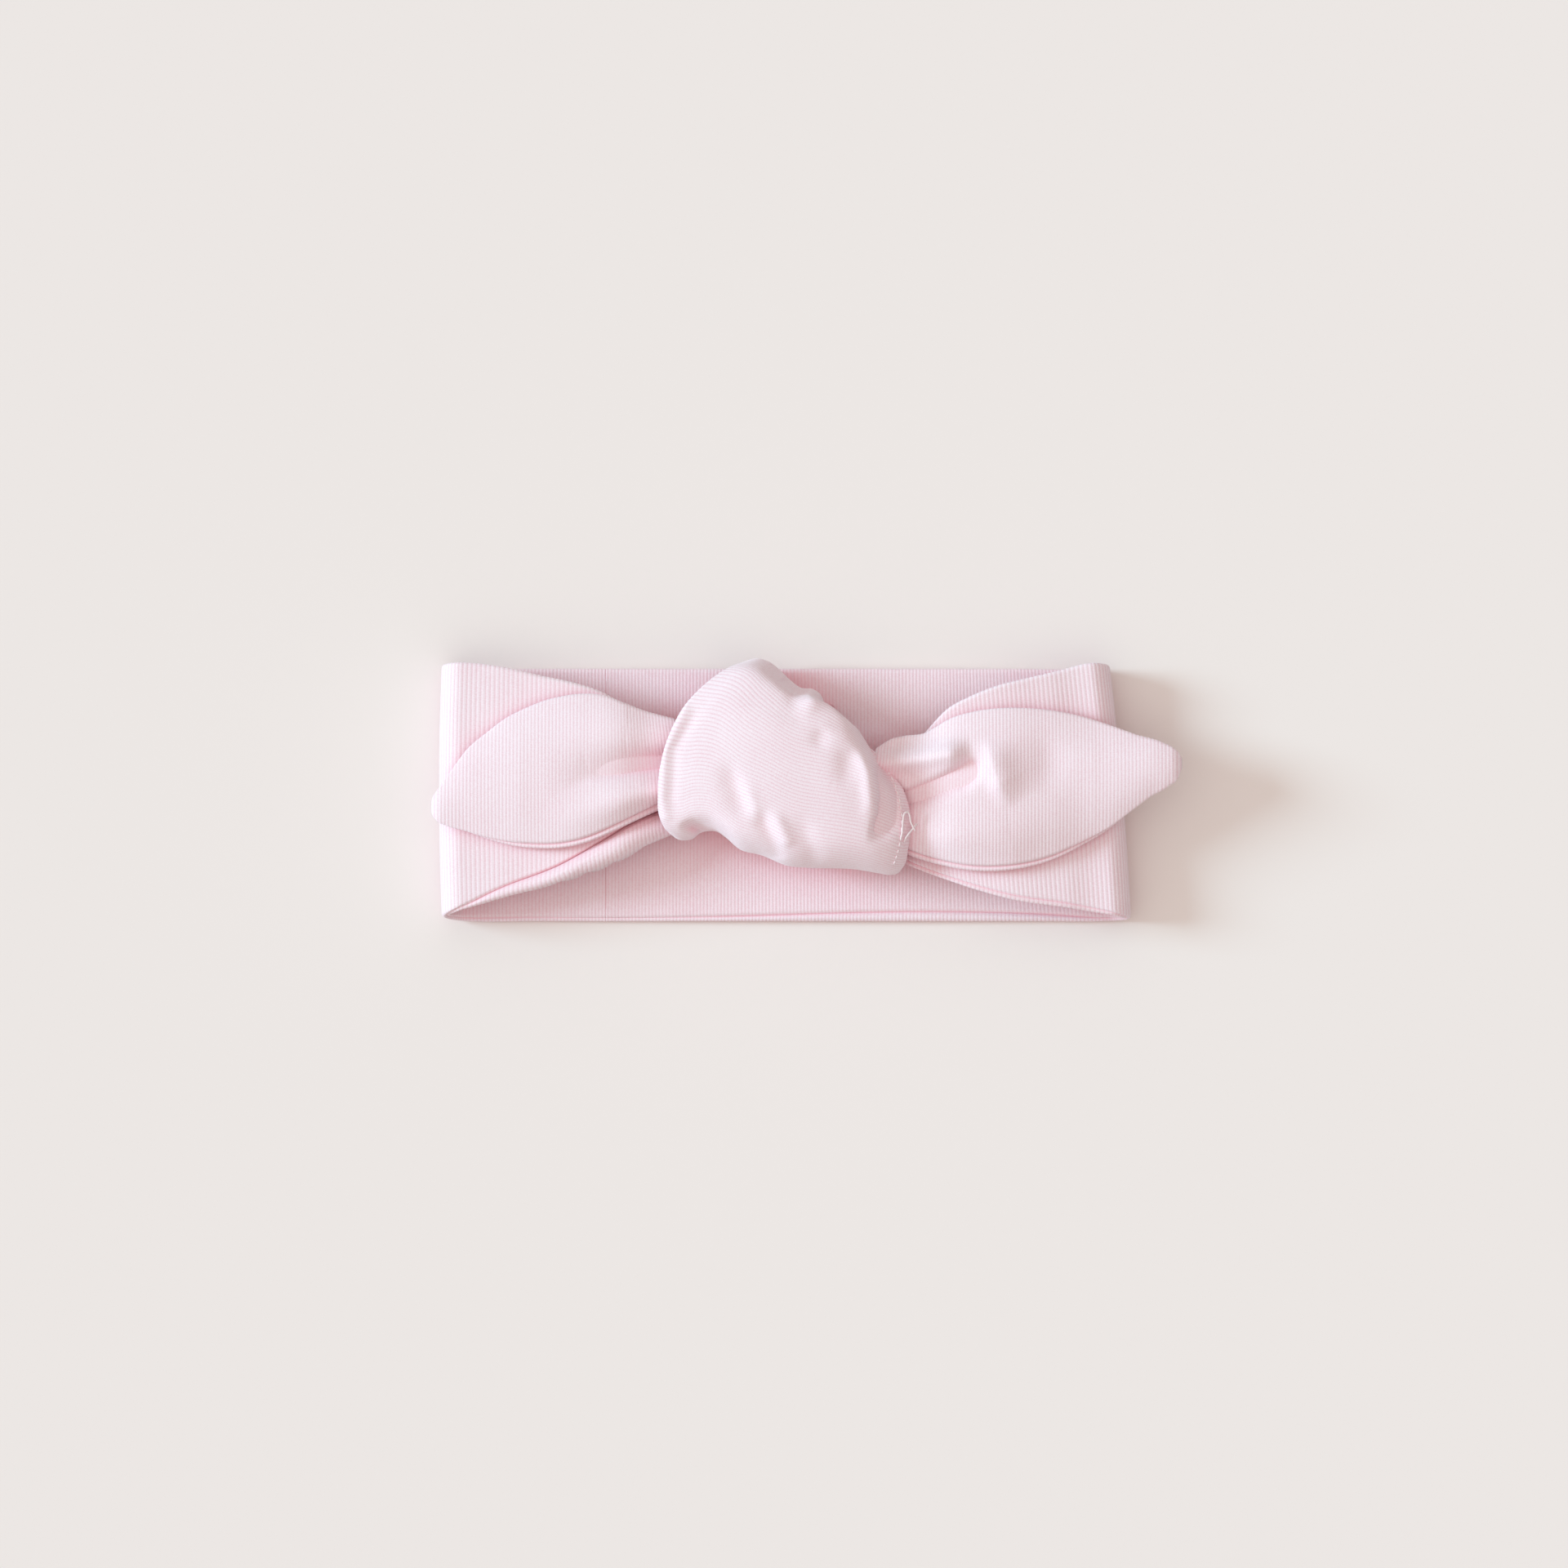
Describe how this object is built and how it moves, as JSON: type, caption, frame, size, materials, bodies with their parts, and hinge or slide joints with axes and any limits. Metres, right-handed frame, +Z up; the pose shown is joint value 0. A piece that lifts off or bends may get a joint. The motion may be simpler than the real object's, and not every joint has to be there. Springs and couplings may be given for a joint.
{
  "type": "knotted headband",
  "caption": "Stretch headband of two-ply rib jersey, tied at the front in a bow knot with two leaf-shaped tails; the loop opens over a child's head.",
  "frame": {"origin": "centre of the headband's footprint, on the surface that its back lies on", "axes": "+Z up out of that surface, through the knot; +X along the flattened loop towards its right fold; +Y across the band, towards the crown edge"},
  "size_m": [0.1848, 0.065, 0.0252],
  "materials": {
    "rib_knit_outer": "fine 1x1 rib cotton jersey, pale pink, matt, slightly fuzzy",
    "rib_knit_inner": "the same jersey, inner ply",
    "seam_allowance": "cut and stitched jersey edges",
    "sewing_thread": "matt polyester sewing thread"
  },
  "bodies": {
    "back": {"back_left_outer_ply": "rib_knit_outer", "back_left_inner_ply": "rib_knit_inner", "back_left_lower_seam": "seam_allowance", "back_left_upper_seam": "seam_allowance", "back_right_outer_ply": "rib_knit_outer", "back_right_inner_ply": "rib_knit_inner", "back_right_lower_seam": "seam_allowance", "back_right_upper_seam": "seam_allowance", "back_join_seam": "seam_allowance", "left_fold_outer_ply": "rib_knit_outer", "left_fold_inner_ply": "rib_knit_inner", "left_fold_lower_seam": "seam_allowance", "left_fold_upper_seam": "seam_allowance", "right_fold_outer_ply": "rib_knit_outer", "right_fold_inner_ply": "rib_knit_inner", "right_fold_lower_seam": "seam_allowance", "right_fold_upper_seam": "seam_allowance"},
    "front": {"left_wing_outer_ply": "rib_knit_outer", "left_wing_inner_ply": "rib_knit_inner", "left_wing_lower_seam": "seam_allowance", "left_wing_upper_seam": "seam_allowance", "right_wing_outer_ply": "rib_knit_outer", "right_wing_inner_ply": "rib_knit_inner", "right_wing_lower_seam": "seam_allowance", "right_wing_upper_seam": "seam_allowance", "knot_wrap_outer_ply": "rib_knit_outer", "knot_wrap_inner_ply": "rib_knit_inner", "knot_wrap_left_rim_seam": "seam_allowance", "knot_wrap_right_rim_seam": "seam_allowance", "knot_left_strand": "rib_knit_outer", "knot_right_strand": "rib_knit_outer", "closing_topstitch": "sewing_thread", "loose_thread_end_upper": "sewing_thread", "loose_thread_end_lower": "sewing_thread"},
    "left_tail": {"left_tail_outer_ply": "rib_knit_outer", "left_tail_inner_ply": "rib_knit_inner", "left_tail_lower_seam": "seam_allowance", "left_tail_upper_seam": "seam_allowance"},
    "right_tail": {"right_tail_outer_ply": "rib_knit_outer", "right_tail_inner_ply": "rib_knit_inner", "right_tail_lower_seam": "seam_allowance", "right_tail_upper_seam": "seam_allowance"}
  },
  "joints": [
    {"name": "loop_open", "type": "slide", "parent": "back", "child": "front", "axis": [0, 0, 1], "range_m": [0, 0.015], "deforming": ["left_fold_outer_ply", "left_fold_inner_ply", "left_fold_lower_seam", "left_fold_upper_seam", "right_fold_outer_ply", "right_fold_inner_ply", "right_fold_lower_seam", "right_fold_upper_seam"]},
    {"name": "left_tail_lift", "type": "hinge", "parent": "front", "child": "left_tail", "pos_m": [-0.0379, 0.007, 0.0135], "axis": [0, 1, 0], "range_deg": [0, 70]},
    {"name": "right_tail_lift", "type": "hinge", "parent": "front", "child": "right_tail", "pos_m": [0.0283, -0.001, 0.0135], "axis": [0, -1, 0], "range_deg": [0, 70]}
  ]
}
